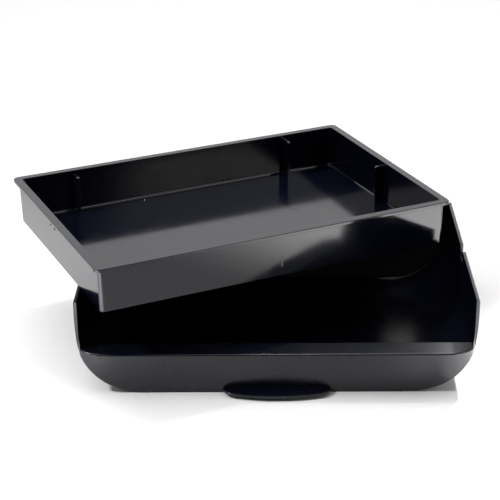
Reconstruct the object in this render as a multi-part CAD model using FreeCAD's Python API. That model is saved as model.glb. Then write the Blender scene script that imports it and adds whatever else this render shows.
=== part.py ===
"""A two-piece moulded tray: a scoop-shaped lower pan with a front fascia, and a flat upper tray.

Millimetres, +Z up, -Y is the front (the side with the finger pull).
The pan stands on the ground; the upper tray lies loose and askew across its walls.
"""
import FreeCAD
import Part
import math
import os

Vector = FreeCAD.Vector

# ---- lower pan: overall ---------------------------------------------------
PAN_HALF_WIDTH = 150.0       # outside of the side walls at their front edges
PAN_DEPTH = 191.0            # side wall front edge to the outside of the rear wall
PAN_NARROWING = 1.5          # each side wall leans in by this much from front to rear
WALL_HEIGHT = 67.8           # top edge of the side and rear walls
WALL = 2.5                   # moulded wall thickness
LOWER_RADIUS = 57.0          # big lower corner, outside, from the floor up to the crease
LOWER_CENTRE_X = 98.8        # where that corner starts to rise from the floor
UPPER_RADIUS = 187.0         # the side wall's slight outward curve above the crease
UPPER_TANGENT_Z = 55.0       # the side wall is upright from here to its top
CREASE_RADIUS = 12.0         # soft crease between the two, outside
PAD_STEP = 0.6               # the resting pad stands this far below the corners
PAD_HALF_WIDTH = 94.0
PAD_REAR_INSET = 15.0
TOP_EDGE_ROUND = 0.5

# ---- lower pan: rear wall --------------------------------------------------
REAR_CREASE_Z = 29.0         # the rear wall is upright above this and slopes below it
REAR_FOOT_INSET = 12.7       # outside foot of the slope, in front of the wall's outside
REAR_OUTER_RADIUS = 3.0
REAR_INNER_RADIUS = 3.0

# ---- lower pan: notches, floor marks, front wall ---------------------------
NOTCH_LENGTH = 15.5
NOTCH_DEPTH = 9.0
FRONT_WALL_REAR = 4.0        # rear face of the low front wall, behind the side walls' front edges
LEDGE_THICKNESS = 2.2
FLOOR_PIP_X = 89.0
FLOOR_PIP_INSET = 20.0       # from the inside of the rear wall

# ---- front fascia ----------------------------------------------------------
BOW = 14.2                   # the fascia stands this far in front of the side walls' edges
BOW_HALF_FLAT = 122.0        # half the straight stretch of the bowed front
BOW_END = 25.5               # length of each rounded end of the bow, across the pan
FASCIA_TOP = 31.5
FASCIA_THICKNESS = 2.4
FASCIA_PROUD = 0.3           # the fascia's face stands this far out of its rebate
RIM_WIDTH = 1.2              # edge of the pan that stays visible round the fascia
SIDE_CLEARANCE = 0.3
FASCIA_TOP_ROUND = 1.2
GUSSET_X = (-110.0, -50.0, 50.0, 110.0)
GUSSET_THICKNESS = 2.0
GUSSET_GAP = 0.2

# ---- finger pull -----------------------------------------------------------
PULL_HALF_WIDTH = 40.4
PULL_REACH = 14.2            # how far the pull's middle stands out from the fascia
PULL_SHOULDER_X = 30.5
PULL_SHOULDER_REACH = 10.4
PULL_BULGE_X = 37.5          # a point on the rounded flank between root and shoulder
PULL_BULGE_REACH = 6.4
PULL_THICKNESS = 2.2
PULL_EDGE_ROUND = 0.7

# ---- upper tray ------------------------------------------------------------
TRAY_LENGTH = 296.2
TRAY_WIDTH = 199.8
TRAY_HEIGHT = 36.7
TRAY_WALL = 2.5
TRAY_FLOOR = 2.4
RIM_OVERHANG = 3.7
RIM_THICKNESS = 2.4
RIM_CORNER = 5.0
RIM_ROUND = 0.5
TRAY_FOOT_INSET = 4.5        # underside edge, inward from the rim's outer edge
TRAY_CORNER = 3.2
TRAY_INNER_CORNER = 3.0
TRAY_FOOT_ROUND = 0.8
TRAY_FLOOR_ROUND = 2.2

REAR_FIN_REACH = 9.5         # the rear wall's two fins stand this far in from it
RIGHT_FIN_REACH = 7.3        # the right wall's one fin
FIN_THICKNESS = 2.2
FIN_DROP = 3.4               # top of a fin, below the rim
FIN_CORNER = 1.6
REAR_FIN_X = (-97.0, 95.8)

PIP_RADIUS = 1.1
PIP_TOP_RADIUS = 0.7
PIP_HEIGHT = 0.5
PIP_SPACING = 5.7
LONG_WALL_PIP_X = 42.0
LONG_WALL_PIP_Y = 85.5
SHORT_WALL_PIP_X = 131.0
SHORT_WALL_PIP_Y = 6.0

WALL_MARK_PROUD = 0.4        # raised moulding marks on the outside of the tray's walls
WALL_MARK_ROOT = 1.0
SCAR_X = 2.0                 # short upright scar near the middle of the front wall
SCAR_WIDTH = 1.3
SCAR_LOW = 7.8
SCAR_HIGH = 17.0
FRONT_DOT = (66.0, 6.8)      # along the wall, height
LEFT_DOTS = ((14.4, 27.7), (4.6, 27.7))

GATE_RECESS_RADIUS = 7.0
GATE_RECESS_DEPTH = 0.4
GATE_NUB_RADIUS = 1.5
PAN_GATE_BACK = 40.0         # the pan's gate mark, behind the middle of its pad

# ---- where the loose tray lies on the pan ----------------------------------
TRAY_TURN = 25.45            # degrees, anticlockwise from above
TRAY_CENTRE_X = -38.7
TRAY_CENTRE_Y = 130.2        # behind the side walls' front edges

# ---- worked out --------------------------------------------------------------
FORWARD = 20.0               # the pan is first made this much too long at the front
PAD_REAR = PAN_DEPTH - PAD_REAR_INSET
BASE_CENTRE_Y = (PAD_REAR - BOW) / 2.0
HIGH = 200.0                 # above everything, for cutting tools
PAST = 1.0                   # how far a cutting tool runs past a face
FLAT = 0.01                  # how level an edge must be to count as lying in a plane
JOIN_TOLERANCE = 0.001


def below(z):
    """Everything under a height."""
    return slab(-HIGH, HIGH, -HIGH, 2.0 * HIGH, -HIGH, z)


def meeting_point(centre_a, radius_a, centre_b, radius_b):
    """The lower right crossing of two circles in the XZ plane."""
    across = centre_b - centre_a
    apart = across.Length
    along = (apart ** 2 + radius_a ** 2 - radius_b ** 2) / (2.0 * apart)
    off = math.sqrt(radius_a ** 2 - along ** 2)
    unit = across * (1.0 / apart)
    normal = Vector(-unit.z, 0, unit.x)
    first = centre_a + unit * along + normal * off
    second = centre_a + unit * along - normal * off
    return first if first.z < second.z else second


def on_circle(centre, radius, towards):
    """Point of a circle in the direction of another point."""
    direction = towards - centre
    return centre + direction * (radius / direction.Length)


def half_section(inset):
    """Points of the right half of the pan's section: floor end, arc middles and arc ends, wall start."""
    lower = Vector(LOWER_CENTRE_X, 0, PAD_STEP + LOWER_RADIUS)
    upper = Vector(PAN_HALF_WIDTH - UPPER_RADIUS, 0, UPPER_TANGENT_Z)
    crease = meeting_point(lower, LOWER_RADIUS - CREASE_RADIUS, upper, UPPER_RADIUS - CREASE_RADIUS)
    lower_radius = LOWER_RADIUS - inset
    upper_radius = UPPER_RADIUS - inset
    floor_end = lower + Vector(0, 0, -lower_radius)
    lower_end = on_circle(lower, lower_radius, crease)
    upper_start = on_circle(upper, upper_radius, crease)
    wall_start = upper + Vector(upper_radius, 0, 0)
    lower_middle = on_circle(lower, lower_radius, (floor_end + lower_end) * 0.5)
    crease_middle = on_circle(crease, CREASE_RADIUS - inset, (lower_end + upper_start) * 0.5)
    upper_middle = on_circle(upper, upper_radius, (upper_start + wall_start) * 0.5)
    return floor_end, lower_middle, lower_end, crease_middle, upper_start, upper_middle, wall_start


def scoop_side(inset, side):
    """Long trough whose wall and rounded lower corner on one side are the pan's, moved in by inset."""
    points = [Vector(side * p.x, -HIGH, p.z) for p in half_section(inset)]
    far_top = Vector(-side * HIGH, -HIGH, HIGH)
    far_base = Vector(-side * HIGH, -HIGH, points[0].z)
    wall_top = Vector(points[-1].x, -HIGH, HIGH)
    edges = [
        Part.makeLine(far_top, far_base),
        Part.makeLine(far_base, points[0]),
        Part.Arc(points[0], points[1], points[2]).toShape(),
        Part.Arc(points[2], points[3], points[4]).toShape(),
        Part.Arc(points[4], points[5], points[6]).toShape(),
        Part.makeLine(points[6], wall_top),
        Part.makeLine(wall_top, far_top),
    ]
    trough = Part.Face(Part.Wire(edges)).extrude(Vector(0, 3.0 * HIGH, 0))
    lean = math.degrees(math.atan(PAN_NARROWING / PAN_DEPTH))
    trough.rotate(Vector(side * PAN_HALF_WIDTH, 0, 0), Vector(0, 0, 1), side * lean)
    return trough


def scoop_block(front, rear, inset, top):
    """Solid with the pan's section between two distances behind the front edges, up to top."""
    span = slab(-HIGH, HIGH, front, rear, -HIGH, top)
    return scoop_side(inset, -1.0).common(scoop_side(inset, 1.0)).common(span)


def rear_region(inset):
    """Everything in front of the rear wall, which is upright above its crease and slopes below it."""
    slope = math.atan(REAR_FOOT_INSET / (REAR_CREASE_Z - PAD_STEP))
    wall = PAN_DEPTH - inset
    crease_z = REAR_CREASE_Z + inset * math.tan(slope / 2.0)
    low_z = -HIGH
    low_y = wall - (crease_z - low_z) * math.tan(slope)
    front = -3.0 * HIGH
    corners = [
        Vector(-HIGH, front, low_z),
        Vector(-HIGH, low_y, low_z),
        Vector(-HIGH, wall, crease_z),
        Vector(-HIGH, wall, HIGH),
        Vector(-HIGH, front, HIGH),
    ]
    outline = Part.makePolygon(corners + corners[:1])
    return Part.Face(outline).extrude(Vector(2.0 * HIGH, 0, 0))


def bow_region(offset):
    """Everything behind the bowed front line, which is moved back by offset."""
    end_x = BOW_END - offset
    end_y = BOW - offset
    side = PAN_HALF_WIDTH + FORWARD
    rear = PAN_DEPTH + FORWARD
    left_ellipse = Part.Ellipse(Vector(-BOW_HALF_FLAT, 0, 0), end_x, end_y)
    right_ellipse = Part.Ellipse(Vector(BOW_HALF_FLAT, 0, 0), end_x, end_y)
    left_end = Vector(-BOW_HALF_FLAT - end_x, 0, 0)
    right_end = Vector(BOW_HALF_FLAT + end_x, 0, 0)
    left_flat = Vector(-BOW_HALF_FLAT, -end_y, 0)
    right_flat = Vector(BOW_HALF_FLAT, -end_y, 0)
    edges = [
        Part.makeLine(Vector(-side, 0, 0), left_end),
        Part.ArcOfEllipse(left_ellipse, math.pi, 1.5 * math.pi).toShape(),
        Part.makeLine(left_flat, right_flat),
        Part.ArcOfEllipse(right_ellipse, 1.5 * math.pi, 2.0 * math.pi).toShape(),
        Part.makeLine(right_end, Vector(side, 0, 0)),
        Part.makeLine(Vector(side, 0, 0), Vector(side, rear, 0)),
        Part.makeLine(Vector(side, rear, 0), Vector(-side, rear, 0)),
        Part.makeLine(Vector(-side, rear, 0), Vector(-side, 0, 0)),
    ]
    face = Part.Face(Part.Wire(edges))
    face.translate(Vector(0, 0, -FORWARD))
    return face.extrude(Vector(0, 0, HIGH))


def slab(x0, x1, y0, y1, z0, z1):
    """Box between two corners."""
    return Part.makeBox(x1 - x0, y1 - y0, z1 - z0, Vector(x0, y0, z0))


def pip(x, y, z):
    """Small raised moulding mark on a floor."""
    return Part.makeCone(PIP_RADIUS, PIP_TOP_RADIUS, PIP_HEIGHT, Vector(x, y, z))


def with_gate_mark(shape, x, y):
    """Shallow round recess with the moulding gate's nub in it, in the underside at z = 0."""
    recess = Part.makeCylinder(GATE_RECESS_RADIUS, GATE_RECESS_DEPTH, Vector(x, y, 0))
    nub = Part.makeCylinder(GATE_NUB_RADIUS, GATE_RECESS_DEPTH, Vector(x, y, 0))
    return shape.cut(recess.cut(nub))


def make_front_fascia():
    """Bowed front panel with its ledge, stiffening gussets and finger pull, as one moulding."""
    panel = scoop_block(-FORWARD, FORWARD, RIM_WIDTH, FASCIA_TOP)
    panel = panel.common(bow_region(-FASCIA_PROUD)).cut(bow_region(FASCIA_THICKNESS))
    ledge = scoop_block(-FORWARD, FRONT_WALL_REAR, WALL + SIDE_CLEARANCE, FASCIA_TOP)
    ledge = ledge.common(bow_region(0.0))
    ledge = ledge.cut(below(FASCIA_TOP - LEDGE_THICKNESS))
    fascia = panel.multiFuse([ledge, make_finger_pull()], JOIN_TOLERANCE)

    inside = scoop_block(-FORWARD, FORWARD, WALL + SIDE_CLEARANCE, FASCIA_TOP)
    inside = inside.common(bow_region(FASCIA_THICKNESS / 2.0))
    wall_front = FRONT_WALL_REAR - WALL - GUSSET_GAP
    for x in GUSSET_X:
        half = GUSSET_THICKNESS / 2.0
        plate = slab(x - half, x + half, -FORWARD, wall_front, 0, FASCIA_TOP - LEDGE_THICKNESS / 2.0)
        fascia = fascia.fuse(plate.common(inside))
    fascia = fascia.removeSplitter()
    face_y = -BOW - FASCIA_PROUD / 2.0
    top_edges = [edge for edge in flat_edges_at(fascia, FASCIA_TOP) if edge.BoundBox.YMin < face_y]
    return fascia.makeFillet(FASCIA_TOP_ROUND, top_edges)


def make_finger_pull():
    """Thin tongue with an arched front edge, at the bottom middle of the fascia."""
    bottom = PAD_STEP + RIM_WIDTH
    root = -BOW + FASCIA_THICKNESS / 2.0
    face = -BOW - FASCIA_PROUD
    tip = face - PULL_REACH
    shoulder = face - PULL_SHOULDER_REACH
    bulge = face - PULL_BULGE_REACH
    left_root = Vector(-PULL_HALF_WIDTH, root, bottom)
    right_root = Vector(PULL_HALF_WIDTH, root, bottom)
    left_face = Vector(-PULL_HALF_WIDTH, face, bottom)
    right_face = Vector(PULL_HALF_WIDTH, face, bottom)
    left_shoulder = Vector(-PULL_SHOULDER_X, shoulder, bottom)
    right_shoulder = Vector(PULL_SHOULDER_X, shoulder, bottom)
    edges = [
        Part.makeLine(left_root, left_face),
        Part.Arc(left_face, Vector(-PULL_BULGE_X, bulge, bottom), left_shoulder).toShape(),
        Part.Arc(left_shoulder, Vector(0, tip, bottom), right_shoulder).toShape(),
        Part.Arc(right_shoulder, Vector(PULL_BULGE_X, bulge, bottom), right_face).toShape(),
        Part.makeLine(right_face, right_root),
        Part.makeLine(right_root, left_root),
    ]
    tongue = Part.Face(Part.Wire(edges)).extrude(Vector(0, 0, PULL_THICKNESS))
    front_edges = []
    for edge in tongue.Edges:
        box = edge.BoundBox
        if box.YMin < face - PAST and box.ZLength < FLAT:
            front_edges.append(edge)
    return tongue.makeFillet(PULL_EDGE_ROUND, front_edges)


def make_pan_shell(fascia):
    """Scoop-shaped shell with side walls, rear wall, low front wall and resting pad."""
    outside = scoop_block(-FORWARD, PAN_DEPTH + FORWARD, 0.0, WALL_HEIGHT).common(rear_region(0.0))
    outside = outside.makeFillet(REAR_OUTER_RADIUS, rear_edges(outside, PAN_DEPTH, WALL_HEIGHT))

    inside = scoop_block(FRONT_WALL_REAR, PAN_DEPTH + FORWARD, WALL, HIGH).common(rear_region(WALL))
    inside = inside.makeFillet(REAR_INNER_RADIUS, rear_edges(inside, PAN_DEPTH - WALL, HIGH))
    shell = outside.cut(inside)

    channel = scoop_block(-2.0 * FORWARD, FRONT_WALL_REAR - WALL, WALL, HIGH)
    shell = shell.cut(channel)
    over_front_wall = scoop_block(-2.0 * FORWARD, FRONT_WALL_REAR + PAST, WALL, HIGH)
    shell = shell.cut(over_front_wall.cut(below(FASCIA_TOP - LEDGE_THICKNESS)))

    pad = slab(-PAD_HALF_WIDTH, PAD_HALF_WIDTH, -FORWARD, PAD_REAR, 0, PAD_STEP + WALL / 2.0)
    shell = shell.fuse(pad).common(bow_region(0.0))
    top_edges = [edge for edge in flat_edges_at(shell, WALL_HEIGHT) if edge.Length > FORWARD]
    shell = shell.makeFillet(TOP_EDGE_ROUND, top_edges)
    for side in (-1.0, 1.0):
        shell = shell.cut(notch_tool(side))
    shell = shell.cut(fascia)
    shell = with_gate_mark(shell, 0.0, BASE_CENTRE_Y + PAN_GATE_BACK)
    floor = PAD_STEP + WALL
    for x in (-FLOOR_PIP_X, FLOOR_PIP_X):
        shell = shell.fuse(pip(x, PAN_DEPTH - WALL - FLOOR_PIP_INSET, floor))
    return shell.removeSplitter()


def rear_edges(block, wall_y, top):
    """Edges round the rear end of a block: up its corners, round its lower corners and along its foot."""
    slope = REAR_FOOT_INSET / (REAR_CREASE_Z - PAD_STEP)
    found = []
    for edge in block.Edges:
        box = edge.BoundBox
        if box.ZMin > top - PAST:
            continue
        middle = edge.valueAt((edge.FirstParameter + edge.LastParameter) / 2.0)
        slope_y = wall_y - max(0.0, REAR_CREASE_Z - middle.z) * slope
        if box.YMax > wall_y - 2.0 * REAR_FOOT_INSET and middle.y > slope_y - 2.0 * WALL:
            if box.YLength < REAR_FOOT_INSET + WALL:
                found.append(edge)
    return found


def notch_tool(side):
    """Cutting block for the notch in the middle of one side wall's top edge."""
    middle_y = PAN_DEPTH / 2.0
    middle_x = side * PAN_HALF_WIDTH
    front = middle_y - NOTCH_LENGTH / 2.0
    rear = middle_y + NOTCH_LENGTH / 2.0
    bottom = WALL_HEIGHT - NOTCH_DEPTH
    return slab(middle_x - NOTCH_DEPTH, middle_x + NOTCH_DEPTH, front, rear, bottom, HIGH)


def rounded_rectangle(length, width, radius, z):
    """Closed wire of a rounded rectangle about the Z axis."""
    half_x = length / 2.0
    half_y = width / 2.0
    diagonal = radius * (1.0 - math.sqrt(0.5))
    edges = []
    for sx, sy in ((1, 1), (-1, 1), (-1, -1), (1, -1)):
        on_side = Vector(sx * half_x, sy * (half_y - radius), z)
        on_end = Vector(sx * (half_x - radius), sy * half_y, z)
        middle = Vector(sx * (half_x - diagonal), sy * (half_y - diagonal), z)
        first, last = (on_side, on_end) if sx * sy > 0 else (on_end, on_side)
        if edges:
            edges.append(Part.makeLine(edges[-1].lastVertex(True).Point, first))
        edges.append(Part.Arc(first, middle, last).toShape())
    edges.append(Part.makeLine(edges[-1].lastVertex(True).Point, edges[0].firstVertex(True).Point))
    return Part.Wire(edges)


def drafted_block(low, high, radius):
    """Loft between two rounded rectangles, each given as (length, width, z)."""
    wires = [rounded_rectangle(length, width, radius, z) for length, width, z in (low, high)]
    return Part.makeLoft(wires, True, True)


def flat_edges_at(shape, z):
    """Edges that lie in the horizontal plane z."""
    found = []
    for edge in shape.Edges:
        box = edge.BoundBox
        if abs(box.ZMin - z) < FLAT and abs(box.ZMax - z) < FLAT:
            found.append(edge)
    return found


def tray_inset_at(z):
    """How far the tray wall's outside is in from the rim's outer edge, at height z."""
    return TRAY_FOOT_INSET + (RIM_OVERHANG - TRAY_FOOT_INSET) * z / TRAY_HEIGHT


def tray_size_at(z, extra):
    """Length, width and height of the wall's outside at z, moved in by extra."""
    inset = 2.0 * (tray_inset_at(z) + extra)
    return TRAY_LENGTH - inset, TRAY_WIDTH - inset, z


def make_fin(x, y, turn, reach):
    """Thin upright fin on a wall. At turn 0 it stands on the rear wall and points to -Y."""
    foot = TRAY_FLOOR / 2.0
    top = TRAY_HEIGHT - FIN_DROP
    back = TRAY_WALL / 2.0
    outline = [
        Vector(0, back, foot),
        Vector(0, -reach, foot),
        Vector(0, -reach, top - FIN_CORNER),
        Vector(0, -reach + FIN_CORNER, top),
        Vector(0, back, top),
    ]
    corner_middle = FIN_CORNER * (1.0 - math.sqrt(0.5))
    middle = Vector(0, -reach + corner_middle, top - corner_middle)
    edges = [
        Part.makeLine(outline[0], outline[1]),
        Part.makeLine(outline[1], outline[2]),
        Part.Arc(outline[2], middle, outline[3]).toShape(),
        Part.makeLine(outline[3], outline[4]),
        Part.makeLine(outline[4], outline[0]),
    ]
    fin = Part.Face(Part.Wire(edges)).extrude(Vector(FIN_THICKNESS, 0, 0))
    fin.translate(Vector(-FIN_THICKNESS / 2.0, 0, 0))
    fin.rotate(Vector(0, 0, 0), Vector(0, 0, 1), turn)
    fin.translate(Vector(x, y, 0))
    return fin


def make_upper_tray():
    """Flat rectangular tray with a flanged rim, drafted walls and upright fins."""
    body = drafted_block(tray_size_at(0.0, 0.0), tray_size_at(TRAY_HEIGHT, 0.0), TRAY_CORNER)
    body = body.makeFillet(TRAY_FOOT_ROUND, flat_edges_at(body, 0.0))
    rim = drafted_block((TRAY_LENGTH, TRAY_WIDTH, TRAY_HEIGHT - RIM_THICKNESS),
                        (TRAY_LENGTH, TRAY_WIDTH, TRAY_HEIGHT), RIM_CORNER)
    rim = rim.makeFillet(RIM_ROUND, flat_edges_at(rim, TRAY_HEIGHT))
    hollow = drafted_block(tray_size_at(TRAY_FLOOR, TRAY_WALL),
                           tray_size_at(TRAY_HEIGHT + PAST, TRAY_WALL), TRAY_INNER_CORNER)
    hollow = hollow.makeFillet(TRAY_FLOOR_ROUND, flat_edges_at(hollow, TRAY_FLOOR))
    tray = body.fuse(rim).cut(hollow)

    fins = []
    wall_in = tray_inset_at(TRAY_HEIGHT) + TRAY_WALL
    long_wall_y = TRAY_WIDTH / 2.0 - wall_in
    short_wall_x = TRAY_LENGTH / 2.0 - wall_in
    for x in REAR_FIN_X:
        fins.append(make_fin(x, long_wall_y, 0.0, REAR_FIN_REACH))
    fins.append(make_fin(short_wall_x, 0.0, -90.0, RIGHT_FIN_REACH))
    for fin in fins:
        tray = tray.fuse(fin.common(body))
    for x, y in pip_places():
        tray = tray.fuse(pip(x, y, TRAY_FLOOR))
    for mark in wall_marks():
        tray = tray.fuse(mark)
    return with_gate_mark(tray, 0.0, 0.0).removeSplitter()


def wall_marks():
    """Raised scar and dots left by the mould on the outside of the front and left walls."""
    scar_z = (SCAR_LOW + SCAR_HIGH) / 2.0
    face = -TRAY_WIDTH / 2.0 + tray_inset_at(scar_z)
    half = SCAR_WIDTH / 2.0
    proud = face - WALL_MARK_PROUD
    root = face + WALL_MARK_ROOT
    marks = [slab(SCAR_X - half, SCAR_X + half, proud, root, SCAR_LOW, SCAR_HIGH)]
    along, height = FRONT_DOT
    face = -TRAY_WIDTH / 2.0 + tray_inset_at(height)
    marks.append(wall_dot(Vector(along, face, height), Vector(0, -1, 0)))
    for along, height in LEFT_DOTS:
        face = -TRAY_LENGTH / 2.0 + tray_inset_at(height)
        marks.append(wall_dot(Vector(face, along, height), Vector(-1, 0, 0)))
    return marks


def wall_dot(place, outward):
    """Small raised dot on a wall, rooted inside it."""
    root = place - outward * WALL_MARK_ROOT
    return Part.makeCylinder(PIP_RADIUS, WALL_MARK_ROOT + WALL_MARK_PROUD, root, outward)


def pip_places():
    """Centres of the paired moulding marks on the tray's floor."""
    places = []
    for along in (-PIP_SPACING / 2.0, PIP_SPACING / 2.0):
        for side in (-1.0, 1.0):
            places.append((side * LONG_WALL_PIP_X + along, LONG_WALL_PIP_Y))
            places.append((side * LONG_WALL_PIP_X + along, -LONG_WALL_PIP_Y))
            places.append((side * SHORT_WALL_PIP_X + along, SHORT_WALL_PIP_Y))
    return places


def lay_across_pan(tray):
    """Turn the tray and set it down on the pan's wall tops."""
    tray.rotate(Vector(0, 0, 0), Vector(0, 0, 1), TRAY_TURN)
    tray.translate(Vector(TRAY_CENTRE_X, TRAY_CENTRE_Y, WALL_HEIGHT))
    return tray


def main():
    os.makedirs("parts", exist_ok=True)
    fascia = make_front_fascia()
    nodes = {
        "front_fascia": fascia,
        "pan_shell": make_pan_shell(fascia),
        "upper_tray": lay_across_pan(make_upper_tray()),
    }
    for name, shape in nodes.items():
        shape.translate(Vector(0, -BASE_CENTRE_Y, 0))
        volume = round(shape.Volume / 1000.0, 2)
        print(name, "valid", shape.isValid(), "solids", len(shape.Solids), "volume", volume, "cm3")
        shape.exportStep("parts/" + name + ".step")


main()
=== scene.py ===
"""Looks for the two-piece moulded tray: gloss black plastic on a white table in soft studio light."""

import math

import bpy
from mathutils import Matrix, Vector

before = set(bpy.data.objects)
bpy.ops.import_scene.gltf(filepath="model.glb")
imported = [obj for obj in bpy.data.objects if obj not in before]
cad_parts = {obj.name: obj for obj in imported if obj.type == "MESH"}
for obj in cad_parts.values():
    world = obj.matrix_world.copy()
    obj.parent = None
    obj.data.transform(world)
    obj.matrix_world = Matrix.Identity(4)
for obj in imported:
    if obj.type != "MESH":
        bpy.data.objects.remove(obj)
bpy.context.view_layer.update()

# ---- camera ------------------------------------------------------------------
CAMERA_PLACE = Vector((-0.00239, -1.11855, 0.57755))
CAMERA_PITCH = math.radians(24.272)
CAMERA_HEADING = math.radians(0.488)
LENS = 113.03
SENSOR = 36.0
SHIFT_X = -0.0710

# ---- plastic -----------------------------------------------------------------
PLASTIC_BLACK = (0.0017, 0.0024, 0.0070)
# Lighter grey for worn edges, made light enough that it also serves as a painted highlight along the
# edges.
WORN_AND_HIGHLIGHT_GREY = (0.050, 0.052, 0.058)

# ---- studio lights, in metres, degrees and watts -----------------------------------
# name, place, aim, size, power
SOFT_BOXES = (
    ("overhead", (0.0, 0.30, 1.35), (0.0, -0.05, 0.0), (1.6, 1.1), 8.6),
    ("front_right", (1.74, -1.16, 0.97), (0.0, 0.0, 0.0), (0.86, 0.6), 4.0),
)
# name, place, aim, cone, power, softness of the pool's edge
POOLS = (
    ("left_pool", (-0.75, -0.16, 0.75), (-0.26, -0.05, 0.0), 56.0, 25.0, 1.0),
    ("right_pool", (0.47, 0.50, 0.70), (0.270, -0.122, 0.0), 19.0, 300.0, 0.8),
    ("front_left_pool", (-0.30, -0.40, 0.7), (-0.26, -0.25, 0.0), 26.0, 130.0, 1.0),
    ("rear_wash", (0.0, 1.0, 2.0), (0.0, 1.1, 0.0), 100.0, 50.0, 1.0),
)
POOL_SOURCE_RADIUS = 0.05


def new_node(tree, kind, **inputs):
    """Add a node and set its unlinked inputs by name, with underscores for spaces."""
    node = tree.nodes.new(kind)
    for name, value in inputs.items():
        node.inputs[name.replace("_", " ")].default_value = value
    return node


def noise(tree, coords, scale, detail, roughness=0.5, stretch=(1.0, 1.0, 1.0)):
    """Noise in object coordinates, optionally stretched along an axis."""
    mapping = new_node(tree, "ShaderNodeMapping", Scale=stretch)
    tree.links.new(coords, mapping.inputs["Vector"])
    node = new_node(tree, "ShaderNodeTexNoise", Scale=scale, Detail=detail, Roughness=roughness)
    tree.links.new(mapping.outputs["Vector"], node.inputs["Vector"])
    return node.outputs["Fac"]


def ranged(tree, value, low, high, to_low, to_high):
    """Map a value from one range to another, clamped."""
    node = new_node(tree, "ShaderNodeMapRange",
                    From_Min=low, From_Max=high, To_Min=to_low, To_Max=to_high)
    tree.links.new(value, node.inputs["Value"])
    return node.outputs["Result"]


def math_node(tree, operation, first, second):
    """Two-input maths on numbers or sockets."""
    node = tree.nodes.new("ShaderNodeMath")
    node.operation = operation
    for socket, value in zip(node.inputs, (first, second)):
        if isinstance(value, (int, float)):
            socket.default_value = value
        else:
            tree.links.new(value, socket)
    return node.outputs["Value"]


def moulded_plastic(name, roughness, scuffs, wave):
    """Black moulding: uneven gloss, faint orange peel, slow waviness, fine scuffs, and worn edges
    painted a lighter grey that is partly a painted highlight along the edges.
    """
    material = bpy.data.materials.new(name)
    material.use_nodes = True
    tree = material.node_tree
    shader = tree.nodes["Principled BSDF"]
    shader.inputs["IOR"].default_value = 1.5
    coords = tree.nodes.new("ShaderNodeTexCoord").outputs["Object"]

    broad = noise(tree, coords, 14.0, 3.0)
    cloudy = noise(tree, coords, 70.0, 4.0)
    peel = noise(tree, coords, 900.0, 2.0)
    rub_x = noise(tree, coords, 60.0, 6.0, 0.7, (0.35, 9.0, 9.0))
    rub_y = noise(tree, coords, 60.0, 6.0, 0.7, (9.0, 0.35, 9.0))

    edge = new_node(tree, "ShaderNodeBevel", Radius=0.00035)
    edge.samples = 6
    geometry = tree.nodes.new("ShaderNodeNewGeometry")
    facing = tree.nodes.new("ShaderNodeVectorMath")
    facing.operation = "DOT_PRODUCT"
    tree.links.new(edge.outputs["Normal"], facing.inputs[0])
    tree.links.new(geometry.outputs["Normal"], facing.inputs[1])
    on_edge = ranged(tree, facing.outputs["Value"], 0.96, 0.75, 0.0, 1.0)
    patchy = ranged(tree, cloudy, 0.38, 0.66, 0.15, 1.0)
    # Edge mask for edge wear and for the painted edge highlight, broken up by patchy noise.
    worn_and_highlight = math_node(tree, "MULTIPLY", on_edge, patchy)

    scuff_lines = math_node(tree, "MAXIMUM",
                            ranged(tree, rub_x, 0.66, 0.80, 0.0, 1.0),
                            ranged(tree, rub_y, 0.66, 0.80, 0.0, 1.0))
    scuff = math_node(tree, "MULTIPLY", scuff_lines, scuffs)

    gloss = ranged(tree, broad, 0.3, 0.7, roughness * 0.82, roughness * 1.22)
    gloss = math_node(tree, "ADD", gloss, ranged(tree, cloudy, 0.35, 0.7, -0.015, 0.02))
    gloss = math_node(tree, "ADD", gloss, math_node(tree, "MULTIPLY", worn_and_highlight, 0.10))
    gloss = math_node(tree, "ADD", gloss, math_node(tree, "MULTIPLY", scuff, 0.18))
    tree.links.new(gloss, shader.inputs["Roughness"])

    tint = new_node(tree, "ShaderNodeMix")
    tint.data_type = "RGBA"
    tint.inputs["A"].default_value = (*PLASTIC_BLACK, 1.0)
    tint.inputs["B"].default_value = (*WORN_AND_HIGHLIGHT_GREY, 1.0)
    # Colour mix: the edges are painted lighter as wear and as a painted highlight, with random tone
    # and scuffs added.
    tone = math_node(tree, "ADD", math_node(tree, "MULTIPLY", worn_and_highlight, 0.4),
                     ranged(tree, broad, 0.3, 0.75, 0.0, 0.025))
    tone = math_node(tree, "ADD", tone, math_node(tree, "MULTIPLY", scuff, 0.15))
    tree.links.new(tone, tint.inputs["Factor"])
    tree.links.new(tint.outputs["Result"], shader.inputs["Base Color"])

    slow = new_node(tree, "ShaderNodeBump", Strength=wave, Distance=0.0006)
    tree.links.new(broad, slow.inputs["Height"])
    tree.links.new(edge.outputs["Normal"], slow.inputs["Normal"])
    fine = new_node(tree, "ShaderNodeBump", Strength=0.05, Distance=0.00005)
    tree.links.new(peel, fine.inputs["Height"])
    tree.links.new(slow.outputs["Normal"], fine.inputs["Normal"])
    tree.links.new(fine.outputs["Normal"], shader.inputs["Normal"])
    return material


def dress(node, material):
    """Give a CAD node its one material."""
    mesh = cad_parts[node].data
    mesh.materials.clear()
    mesh.materials.append(material)


dress("pan_shell", moulded_plastic("pan_black", 0.20, 0.8, 0.06))
dress("front_fascia", moulded_plastic("fascia_black", 0.27, 0.35, 0.05))
dress("upper_tray", moulded_plastic("tray_black", 0.11, 0.5, 0.05))


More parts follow.
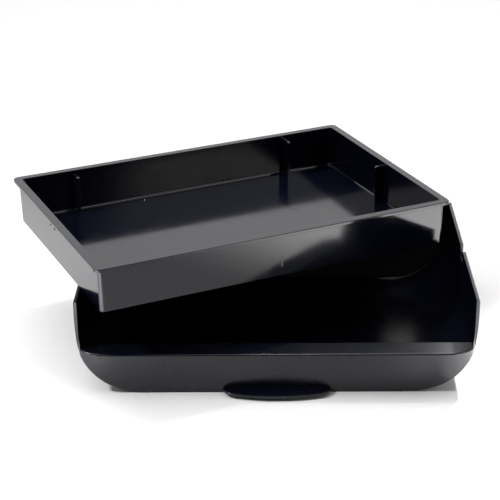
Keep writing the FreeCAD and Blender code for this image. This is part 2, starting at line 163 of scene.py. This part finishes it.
# ---- table and light ------------------------------------------------------------
def paper_white():
    """Matt white table surface with a faint grain."""
    material = bpy.data.materials.new("table_white")
    material.use_nodes = True
    tree = material.node_tree
    shader = tree.nodes["Principled BSDF"]
    shader.inputs["Base Color"].default_value = (0.90, 0.90, 0.905, 1.0)
    shader.inputs["Roughness"].default_value = 0.7
    coords = tree.nodes.new("ShaderNodeTexCoord").outputs["Object"]
    grain = noise(tree, coords, 400.0, 3.0)
    bump = new_node(tree, "ShaderNodeBump", Strength=0.05, Distance=0.0002)
    tree.links.new(grain, bump.inputs["Height"])
    tree.links.new(bump.outputs["Normal"], shader.inputs["Normal"])
    return material


def make_floor():
    """Wide flat table that the pan stands on."""
    half = 6.0
    mesh = bpy.data.meshes.new("table_top")
    corners = [(-half, -half, 0.0), (half, -half, 0.0), (half, half, 0.0), (-half, half, 0.0)]
    mesh.from_pydata(corners, [], [(0, 1, 2, 3)])
    mesh.materials.append(paper_white())
    table = bpy.data.objects.new("table_top", mesh)
    bpy.context.scene.collection.objects.link(table)


def place_and_aim(thing, place, direction):
    """Put a light or the camera at a place, looking along a direction, and add it to the scene."""
    thing.location = place
    thing.rotation_mode = "QUATERNION"
    thing.rotation_quaternion = direction.to_track_quat("-Z", "Y")
    bpy.context.scene.collection.objects.link(thing)


def soft_box(name, place, aim, size, power):
    """Square area light at a place, pointed at another."""
    data = bpy.data.lights.new(name, "AREA")
    data.shape = "RECTANGLE"
    data.size, data.size_y = size
    data.energy = power
    place_and_aim(bpy.data.objects.new(name, data), place, Vector(aim) - Vector(place))


def pool(name, place, aim, cone, power, blend):
    """Soft-edged spot that brightens one part of the table."""
    data = bpy.data.lights.new(name, "SPOT")
    data.energy = power
    data.spot_size = math.radians(cone)
    data.spot_blend = blend
    data.shadow_soft_size = POOL_SOURCE_RADIUS
    place_and_aim(bpy.data.objects.new(name, data), place, Vector(aim) - Vector(place))


def studio_world():
    """Bright sweep behind the table and above it, with a dark room in front."""
    world = bpy.data.worlds.new("studio")
    world.use_nodes = True
    tree = world.node_tree
    split = tree.nodes.new("ShaderNodeSeparateXYZ")
    tree.links.new(tree.nodes.new("ShaderNodeTexCoord").outputs["Generated"], split.inputs["Vector"])
    background = tree.nodes["Background"]
    background.inputs["Color"].default_value = (1.0, 1.0, 1.0, 1.0)
    back = ranged(tree, split.outputs["Y"], -0.35, 0.45, 0.03, 1.15)
    tree.links.new(back, background.inputs["Strength"])
    bpy.context.scene.world = world


def light_studio():
    """Overhead and front right soft boxes, and spots for the bright parts of the table."""
    studio_world()
    for light in SOFT_BOXES:
        soft_box(*light)
    for light in POOLS:
        pool(*light)


def make_camera():
    """Long lens, slightly above the object, looking down on it."""
    data = bpy.data.cameras.new("camera")
    data.lens = LENS
    data.sensor_width = SENSOR
    data.shift_x = SHIFT_X
    data.clip_start = 0.05
    data.clip_end = 50.0
    camera = bpy.data.objects.new("camera", data)
    level = math.cos(CAMERA_PITCH)
    ahead = math.cos(CAMERA_HEADING) * level
    sideways = math.sin(CAMERA_HEADING) * level
    forward = Vector((sideways, ahead, -math.sin(CAMERA_PITCH)))
    place_and_aim(camera, CAMERA_PLACE, forward)
    bpy.context.scene.camera = camera


make_floor()
light_studio()
make_camera()
scene = bpy.context.scene
scene.view_settings.view_transform = "Standard"
scene.view_settings.look = "None"
